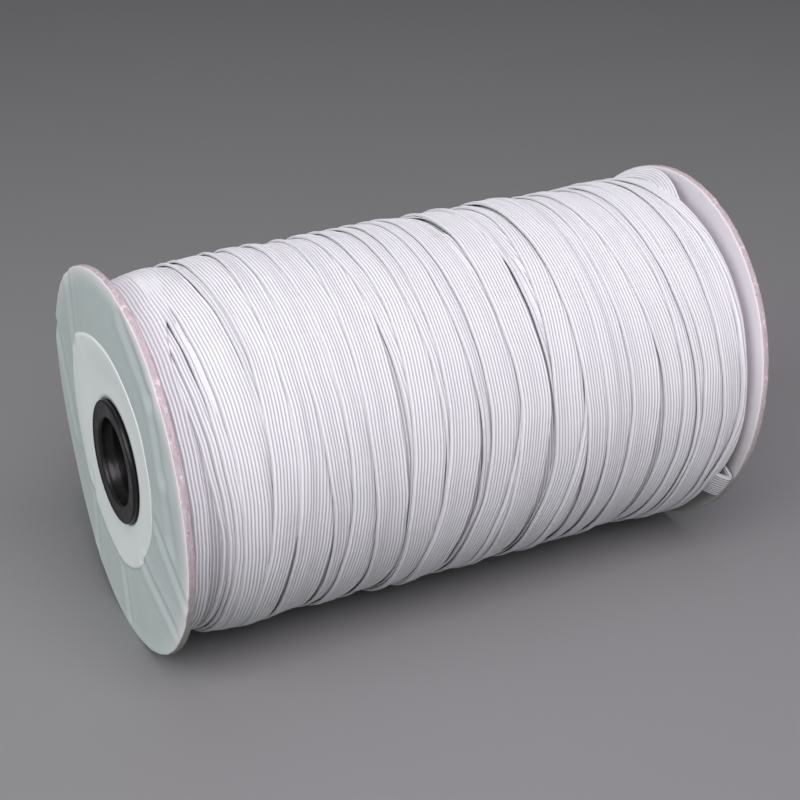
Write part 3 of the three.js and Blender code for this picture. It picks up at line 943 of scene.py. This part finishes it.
def lay_tape(sizes):
    """Lays the tape turn by turn on the bed and on what was laid before.

    Returns, in the order that the tape runs in, each step's angle, the places across the tape,
    its height and the relief of its ribs there, and the share of its width that shows. The tape
    sinks a little under the turns over it.
    """
    line, turns = turn_line()
    width = sizes.tape_width / MM
    thickness = sizes.tape_thickness / MM
    height = bed_unevenness()
    share = np.linspace(0, 1, sizes.rib_count * POINTS_A_RIB + 1)
    laid = []
    for turn in range(turns):
        run = 360 * (turns - 1 - turn) + ROUND_ANGLES
        wander = soft_noise(run, EDGE_WANDER["waves"], EDGE_WANDER["seed"])
        edge = line(run) + EDGE_WANDER["reach"] * wander
        own_width = turn_width(turn, run, width)
        relief = np.clip(0.5 + own_width / width, LEAST_RELIEF, 1)
        rest = spread_round(height, **BRIDGES)
        rows = []
        for k, angle in enumerate(ROUND_ANGLES):
            places = edge[k] + share * own_width[k]
            top = np.interp(places, CELLS, rest[k]) + thickness
            rows.append((angle, places, top, relief[k], own_width[k] / width))
            if turn < turns - 1 or angle >= LAST_ANGLE:
                inside = (CELLS >= places[0]) & (CELLS <= places[-1])
                raised = np.interp(CELLS[inside], places, top)
                height[k, inside] = np.maximum(height[k, inside], raised)
        laid.extend(reversed(rows))
    kept = laid[:-ROUND_STEPS]
    kept += [row for row in laid[-ROUND_STEPS:] if row[0] >= LAST_ANGLE]
    angle, places, top, relief, shown = (np.array(column) for column in zip(*kept))
    above = spread_round(height, **HIDES)
    steps = np.round((angle - 90) * ROUND_STEPS / 360).astype(int)
    cover = np.array([np.interp(row, CELLS, above[k]) for row, k in zip(places, steps)]) - top
    covered = smooth_step(cover, *SUNK_BETWEEN)
    top = pressed(soften_along(top)) - round_line(SINK)(angle)[:, None] * covered
    return angle, places, top, relief[:, None] * (1 - covered), shown


def soften_along(values):
    """Heights evened out along the run of the tape, over a few steps each way."""
    half = 5
    weights = bell(np.arange(-half, half + 1) / ALONG_BLUR)
    padded = np.concatenate([values[:1]] * half + [values] + [values[-1:]] * half)
    return sum(weight * padded[i:i + len(values)] for i, weight in enumerate(weights))


def pressed(height):
    """Stacked turns press into each other, so a pile of three is little higher than of two."""
    over = np.maximum(height - FULL_STACK, 0)
    return np.minimum(height, FULL_STACK) + STACK_GIVE * (1 - np.exp(-over / STACK_GIVE))


def tape_places(angle, places, height):
    """Places in the frame of points at a height over the bed, and the outward direction there."""
    far = round_line(FAR_EDGE)(angle)[:, None]
    turn = angle[:, None]
    along, radius, out_along, out_round = bed_section(places, far, turn)
    points = round_places(along + height * out_along, radius + height * out_round, turn)
    return points, np.stack([out_along, *about_axis(out_round, turn)], -1)


def winding_straps(sizes, ribs, material):
    """The tape of the last layer, as three pieces cut where the reel hides the cut."""
    angle, places, top, relief, shown = lay_tape(sizes)
    rib = sizes.rib_height / MM
    surface = top - rib * relief
    board = sizes.tape_thickness / MM - rib
    top_points, lift = tape_places(angle, places, surface)
    left, right = places[:, :1], places[:, -1:]
    middle = (left + right) / 2
    halfway = top.shape[1] // 2
    low_left, low_right = surface[:, :1] - board, surface[:, -1:] - board
    low_middle = surface[:, halfway:halfway + 1] - board
    under_places = np.concatenate([right + SIDE_BULGE, right, middle, left, left - SIDE_BULGE], 1)
    under_heights = np.concatenate([
        low_right + UNDER_SHARE * board, low_right, low_middle, low_left,
        low_left + UNDER_SHARE * board], 1)
    under_points, _ = tape_places(angle, under_places, under_heights)
    step = math.radians(360 / ROUND_STEPS) * BED_RADIUS
    along = np.arange(len(top)) * step / (sizes.tape_width / MM / sizes.rib_count)
    cut_step = int((CUT_ANGLE - 90) / 360 * ROUND_STEPS)
    turns = len(TURN_EDGES) + 1
    cuts = [(turn + 1) * ROUND_STEPS - cut_step for turn in (turns // 3, 2 * turns // 3)]
    cuts = [0, *cuts, len(top) - 1]
    straps = []
    for number, (start, end) in enumerate(zip(cuts, cuts[1:]), 1):
        part = slice(start, end + 1)
        strap = strap_piece(
            f"tape_run_{number}", top_points[part], under_points[part], lift[part],
            relief[part], shown[part], along[part], sizes)
        straps.append(raise_ribs(strap, ribs, rib_values(sizes, material)))
    return straps


def side_notches(side):
    """How far the points down a side of the bed stand out, every second one."""
    return np.where(np.arange(side["points"]) % 2, 0.0, side["notch"])


def bed_piece():
    """The layers under the last one: one closed ring, with the edges of its turns on its sides."""
    inner = TUBE_RADIUS + PIECE_GAP
    rows = []
    for angle, far in zip(ROUND_ANGLES, round_line(FAR_EDGE)(ROUND_ANGLES)):
        shoulder = np.linspace(SHOULDER["start"], far + SHOULDER["past_edge"], SHOULDER["places"])
        along, radius, _, _ = bed_section(np.concatenate([BED_PLACES, shoulder]), far, angle)
        near_radii = np.linspace(inner, radius[0] - NEAR_SIDE["below"], NEAR_SIDE["points"])
        far_radii = np.linspace(radius[-1] - FAR_SIDE["below"], inner, FAR_SIDE["points"])
        near_along = NEAR_END + side_notches(NEAR_SIDE)
        far_along = along[-1] + side_notches(FAR_SIDE)
        rows.append((np.concatenate([near_along, along, far_along]),
                     np.concatenate([near_radii, radius, far_radii])))
    along, radius = (np.array(column) for column in zip(*rows))
    points = round_places(along, radius, ROUND_ANGLES[:, None])
    faces = grid_faces(ROUND_STEPS, along.shape[1], wrap_rows=True, wrap_columns=True)
    return closed_piece("tape_bed", points, [faces])


def free_strap(name, table, width, sizes, ribs, material):
    """A length of tape that lies free of the last layer, through the rows of its table."""
    columns = np.array(table, float).T
    lines = [smooth_line(dict(enumerate(column))) for column in columns]
    at = np.linspace(0, len(table) - 1, STRAP_STEPS)
    along, angle, radius, width_along, width_round, width_out = (line(at) for line in lines)
    middle = round_places(along, radius, angle)
    turn = np.radians(angle)
    across = np.stack([
        width_along, width_out * np.cos(turn) - width_round * np.sin(turn),
        width_out * np.sin(turn) + width_round * np.cos(turn)], -1)
    ahead = np.gradient(middle, axis=0)
    ahead /= np.linalg.norm(ahead, axis=1, keepdims=True)
    across -= np.sum(across * ahead, 1, keepdims=True) * ahead
    across /= np.linalg.norm(across, axis=1, keepdims=True)
    up = np.cross(across, ahead)
    out = np.stack([0 * turn, np.cos(turn), np.sin(turn)], -1)
    if np.sum(up[0] * out[0]) < 0:
        up = -up
    ribs_across = round(sizes.rib_count * width / sizes.tape_width)
    share = np.linspace(-0.5, 0.5, ribs_across * POINTS_A_RIB + 1)
    under_share = np.linspace(0.5, -0.5, UNDER_PLACES)
    half = sizes.tape_thickness / 2
    top_height = half - sizes.rib_height - STRAP_CROWN * MM * (2 * share) ** 2
    low_height = -half - STRAP_CROWN * MM * (2 * under_share) ** 2
    top = (middle[:, None] + share[None, :, None] * width * across[:, None]
           + top_height[None, :, None] * up[:, None])
    under = (middle[:, None] + under_share[None, :, None] * width * across[:, None]
             + low_height[None, :, None] * up[:, None])
    lift = np.broadcast_to(up[:, None], top.shape)
    length = np.concatenate([[0], np.cumsum(np.linalg.norm(np.diff(middle, axis=0), axis=1))])
    strap = strap_piece(
        name, top, under, lift, np.full((len(at), len(share)), STRAP_RELIEF),
        np.full(len(at), ribs_across / sizes.rib_count),
        length / (sizes.tape_width / sizes.rib_count), sizes)
    return raise_ribs(strap, ribs, rib_values(sizes, material))


# The discs, the paper, the bushes

def crease_depth(y, z, creases):
    """Soft troughs along straight lines on a disc's face, none near the bush."""
    total = np.zeros(np.broadcast(y, z).shape)
    for start, end, depth, width in creases:
        run = np.subtract(end, start)
        share = ((y - start[0]) * run[0] + (z - start[1]) * run[1]) / (run @ run)
        share = np.clip(share, 0, 1)
        away = np.hypot(y - start[0] - share * run[0], z - start[1] - share * run[1])
        total = total + depth * np.exp(-((away / width) ** 2))
        welt = (away - CREASE_WELT["away"] * width) / width
        total = total - CREASE_WELT["share"] * depth * np.exp(-(welt ** 2))
    return total * smooth_step(np.hypot(y, z), BUSH_RADIUS + 1, BUSH_RADIUS + 8)


def face_swell(radius, angle, seed):
    """The slow rise and fall of a disc's face, growing towards its edge."""
    reach = FACE_SWELL * soft_noise(angle, SWELL_WAVES, seed)
    return reach * smooth_step(radius, SWELL_FROM, DISC_RADIUS)


def disc_piece(name, outward, creases, seed, sizes, shift):
    """A cardboard disc: papered faces with creases, and a cut edge a little ragged."""
    rings = np.linspace(DISC_HOLE, FACE_END, FACE_RINGS)
    outer = [(radius, 0.0) for radius in rings]
    rim = [(DISC_RADIUS - inset, depth) for inset, depth in EDGE_ROUND]
    rim += [(DISC_RADIUS, depth) for depth in EDGE_DEPTHS]
    rim += [(DISC_RADIUS - inset, DISC_BOARD - depth) for inset, depth in reversed(EDGE_ROUND)]
    inner = [(radius, DISC_BOARD) for radius in rings[::-1]]
    section = outer + rim + inner
    edge_start = len(outer) + 1
    edge_end = len(outer) + len(rim) - 2
    index = np.repeat([0, 1, 2], [edge_start, edge_end - edge_start, len(section) - edge_end])
    random = np.random.default_rng(seed)
    rough = random.uniform(*EDGE_RAGGED, (DISC_STEPS, len(section)))
    rough = (rough + np.roll(rough, 1, 0) + 0.5 * np.roll(rough, 1, 1)) / 2.5
    ragged = sizes.edge_roughness / MM

    def shape(depth, radius, angle):
        y, z = about_axis(radius, angle)
        on_edge = smooth_step(radius, DISC_RADIUS - 0.6, DISC_RADIUS - 0.1)
        radius = radius + on_edge * ragged * rough
        dip = crease_depth(y, z, creases) + face_swell(radius, angle, seed)
        face = 1 - smooth_step(depth, 0, DISC_BOARD)
        inner_dip = face_swell(radius, angle, seed) * (1 - face)
        depth = depth + dip * face + inner_dip
        return outward * (HALF_LENGTH - depth) + shift(y, z), radius

    return turned_piece(name, section, DISC_STEPS, shape, index)


def paper_piece(seed):
    """The round paper: hand cut, glued down over the near disc's creases."""
    angle = np.arange(PAPER_STEPS)[:, None] * 360 / PAPER_STEPS
    reach = round_line(PAPER_OUTLINE)(angle) + PAPER_RAGGED * soft_noise(angle, (9, 14, 23), 5)
    hole = BUSH_RADIUS + PIECE_GAP
    share = np.linspace(0, 1, PAPER_RINGS)[None, :]
    radius = hole + share * (reach - hole)
    y, z = about_axis(radius, angle)
    dip = crease_depth(y, z, NEAR_CREASES) + face_swell(radius, angle, seed)
    pucker = PAPER_PUCKER * soft_noise(angle, (6, 11, 17), 9) * share ** 2
    gap = PIECE_GAP * (1 - share) ** 0.5 + PAPER_LIFT
    back = near_shift(y, z) - (HALF_LENGTH + gap - dip)
    front = back - PAPER_BOARD - np.abs(pucker)
    rows = np.concatenate([front, back[:, ::-1]], 1)
    ys = np.concatenate([y, y[:, ::-1]], 1)
    zs = np.concatenate([z, z[:, ::-1]], 1)
    faces = grid_faces(PAPER_STEPS, 2 * PAPER_RINGS, wrap_rows=True, wrap_columns=True)
    return closed_piece("paper_round", reel_places(rows, ys, zs), [faces])


def arc(centre, radius, start, end, steps):
    """Points of an arc from a start to an end angle, in degrees."""
    angles = np.radians(np.linspace(start, end, steps))
    return [(centre[0] + radius * math.cos(a), centre[1] + radius * math.sin(a)) for a in angles]


def bush_piece(name, outward):
    """A moulded bush: a rim with a round lip and a shallow step, a round mouth, and a sleeve."""
    stepped = BUSH_RADIUS - RIM_STEP_IN
    face = BUSH_PROUD - RIM_STEP
    section = [(BUSH_RADIUS, PIECE_GAP)]
    section += arc((BUSH_RADIUS - BUSH_LIP, BUSH_PROUD - BUSH_LIP), BUSH_LIP, 0, 90, 7)
    section += [(stepped + 0.3, BUSH_PROUD), (stepped + 0.1, BUSH_PROUD - 0.15 * RIM_STEP)]
    section += [(stepped - 0.1, BUSH_PROUD - 0.85 * RIM_STEP), (stepped - 0.3, face)]
    section += arc((BUSH_MOUTH + MOUTH_ROUND, face - MOUTH_ROUND), MOUTH_ROUND, 90, 180, 9)
    section += [(BUSH_MOUTH, -0.6), (BUSH_BORE + 0.15, -1.4), (BUSH_BORE, -2.0)]
    section += [(BUSH_BORE, -8.0), (BUSH_BORE, -16.0), (BUSH_BORE, SLEEVE_BEVEL - BUSH_END)]
    section += [(BUSH_BORE + SLEEVE_BEVEL, -BUSH_END), (BUSH_SLEEVE - SLEEVE_BEVEL, -BUSH_END)]
    section += [(BUSH_SLEEVE, SLEEVE_BEVEL - BUSH_END), (BUSH_SLEEVE, -12.0)]
    section += [(BUSH_SLEEVE, PIECE_GAP)]

    def shape(proud, radius, angle):
        return outward * (HALF_LENGTH + proud), radius

    return turned_piece(name, section, BUSH_STEPS, shape)


# Stage

def direction(azimuth, height):
    """From the reel towards a place seen at an azimuth, 0 at -Y and 90 at +X, and a height."""
    a, e = math.radians(azimuth), math.radians(height)
    return Vector((math.sin(a) * math.cos(e), -math.cos(a) * math.cos(e), math.sin(e)))


def aim(thing, place, target):
    """Puts a lamp or camera at a place, facing its target."""
    thing.location = place
    thing.rotation_euler = (target - place).to_track_quat("-Z", "Y").to_euler()
    bpy.context.scene.collection.objects.link(thing)


class REEL_OT_stage(Operator):
    """Pale floor, soft lights and the camera"""

    bl_idname = "reel.stage"
    bl_label = "Stage"

    def execute(self, context):
        colours = context.scene.reel_colours
        mesh = bpy.data.meshes.new("floor")
        corners = [(FLOOR_HALF * x, FLOOR_HALF * y, 0) for x, y in FLOOR_CORNERS]
        mesh.from_pydata(corners, [], [(0, 1, 2, 3)])
        mesh.materials.append(floor_finish(colours.floor))
        floor = bpy.data.objects.new("floor", mesh)
        context.scene.collection.objects.link(floor)
        for name, (azimuth, height, distance, size, watts, colour) in LIGHTS.items():
            lamp = bpy.data.lights.new(name, "AREA")
            lamp.shape = "DISK"
            lamp.size = size
            lamp.energy = watts
            lamp.color = colour
            place = CAMERA_TARGET + distance * direction(azimuth, height)
            aim(bpy.data.objects.new(name, lamp), place, CAMERA_TARGET)
        world = bpy.data.worlds.new("studio")
        world.use_nodes = True
        background = world.node_tree.nodes["Background"]
        background.inputs["Color"].default_value = SKY["colour"]
        background.inputs["Strength"].default_value = SKY["strength"]
        context.scene.world = world
        context.scene.view_settings.view_transform = "Standard"
        camera = bpy.data.cameras.new("camera")
        camera.lens = CAMERA_LENS
        camera.sensor_width = CAMERA_SENSOR
        eye = bpy.data.objects.new("camera", camera)
        back = direction(-CAMERA_AZIMUTH, CAMERA_HEIGHT)
        aim(eye, CAMERA_TARGET + CAMERA_DISTANCE * back, CAMERA_TARGET)
        context.scene.camera = eye
        return {"FINISHED"}


class REEL_OT_discs(Operator):
    """The two cardboard discs with their creased paper faces and cut edges"""

    bl_idname = "reel.discs"
    bl_label = "Discs"

    def execute(self, context):
        sizes, colours = context.scene.reel_sizes, context.scene.reel_colours
        finishes = [
            # The outer faces get a pale edge: wear with painted highlight.
            paper_finish("disc_outside", colours.disc_outside, 0.93, DISC_RADIUS - 5.5),
            board_edge_finish(colours.disc_edge),
            # The inner faces get painted shade, darker towards the bottom.
            paper_finish("disc_inside", colours.disc_inside, 0.96, low_shade=PAPER_LOW_SHADE),
        ]
        near = disc_piece("disc_near", -1, NEAR_CREASES, 4, sizes, near_shift)
        hand_over(near, finishes, "disc_board", "flange_near")
        far = disc_piece("disc_far", 1, FAR_CREASES, 8, sizes, far_shift)
        hand_over(far, finishes, "disc_board", "flange_far")
        return {"FINISHED"}


class REEL_OT_paper(Operator):
    """The round paper glued to the near disc"""

    bl_idname = "reel.paper"
    bl_label = "Round paper"

    def execute(self, context):
        colours = context.scene.reel_colours
        finish = paper_finish("round_paper", colours.round_paper, 0.96)
        hand_over(paper_piece(4), [finish], "round_paper", "paper_disc")
        return {"FINISHED"}


class REEL_OT_bushes(Operator):
    """The two black plastic bushes"""

    bl_idname = "reel.bushes"
    bl_label = "Bushes"

    def execute(self, context):
        finish = plastic_finish(context.scene.reel_colours.plastic)
        hand_over(bush_piece("bush_near_moulded", -1), [finish], "black_plastic", "bush_near")
        hand_over(bush_piece("bush_far_moulded", 1), [finish], "black_plastic", "bush_far")
        return {"FINISHED"}


class REEL_OT_core(Operator):
    """The core tube keeps its own mesh and gets a board finish"""

    bl_idname = "reel.core"
    bl_label = "Core tube"

    def execute(self, context):
        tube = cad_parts["core_tube"]
        tube.data.materials.clear()
        tube.data.materials.append(core_finish(context.scene.reel_colours.core_board))
        return {"FINISHED"}


class REEL_OT_winding(Operator):
    """The wound tape: the bed of lower layers, the last layer laid turn by turn, the loose end"""

    bl_idname = "reel.winding"
    bl_label = "Winding"

    def execute(self, context):
        sizes, colours = context.scene.reel_sizes, context.scene.reel_colours
        # The yarn's grooves are painted in shade, down to a third of its colour.
        yarn = elastic_finish("elastic_yarn", colours.elastic, 0.33)
        # Painted shade: the loose end lies in shade under the last turn, so its yarn is a darker copy
        # with darker painted shade in its grooves.
        shaded_end_yarn = elastic_finish("elastic_end_yarn_shaded", shade(colours.elastic, 0.72), 0.08)
        hand_over(bed_piece(), [shaded_bed_finish(colours.elastic)], "elastic", "winding")
        ribs = rib_tree()
        for strap in winding_straps(sizes, ribs, yarn):
            hand_over(strap, [yarn], "elastic", "winding")
        climbing = free_strap("tape_climbing", CLIMBING_STRAND, CLIMBING_WIDTH, sizes, ribs, yarn)
        hand_over(climbing, [yarn], "elastic", "winding")
        end = free_strap("tape_end", LOOSE_END, sizes.tape_width, sizes, ribs, shaded_end_yarn)
        hand_over(end, [shaded_end_yarn], "elastic", "loose_end")
        return {"FINISHED"}


class REEL_PT_panel(Panel):
    bl_idname = "REEL_PT_panel"
    bl_label = "Reel of elastic"
    bl_space_type = "VIEW_3D"
    bl_region_type = "UI"
    bl_category = "Reel"

    def draw(self, context):
        for group in (context.scene.reel_sizes, context.scene.reel_colours):
            for name in group.__annotations__:
                self.layout.prop(group, name)
        for operator in OPERATORS:
            self.layout.operator(operator.bl_idname)


OPERATORS = (
    REEL_OT_stage, REEL_OT_discs, REEL_OT_paper, REEL_OT_bushes, REEL_OT_core, REEL_OT_winding,
)
CLASSES = (ReelSizes, ReelColours, *OPERATORS, REEL_PT_panel)


def register():
    """Adds the panel, its buttons and the sizes and colours it shows."""
    for cls in CLASSES:
        bpy.utils.register_class(cls)
    bpy.types.Scene.reel_sizes = PointerProperty(type=ReelSizes)
    bpy.types.Scene.reel_colours = PointerProperty(type=ReelColours)


def unregister():
    del bpy.types.Scene.reel_colours
    del bpy.types.Scene.reel_sizes
    for cls in reversed(CLASSES):
        bpy.utils.unregister_class(cls)


def main():
    """Dresses the frame."""
    register()
    bpy.ops.reel.stage()
    bpy.ops.reel.discs()
    bpy.ops.reel.paper()
    bpy.ops.reel.bushes()
    bpy.ops.reel.core()
    bpy.ops.reel.winding()


if __name__ == "__main__":
    main()
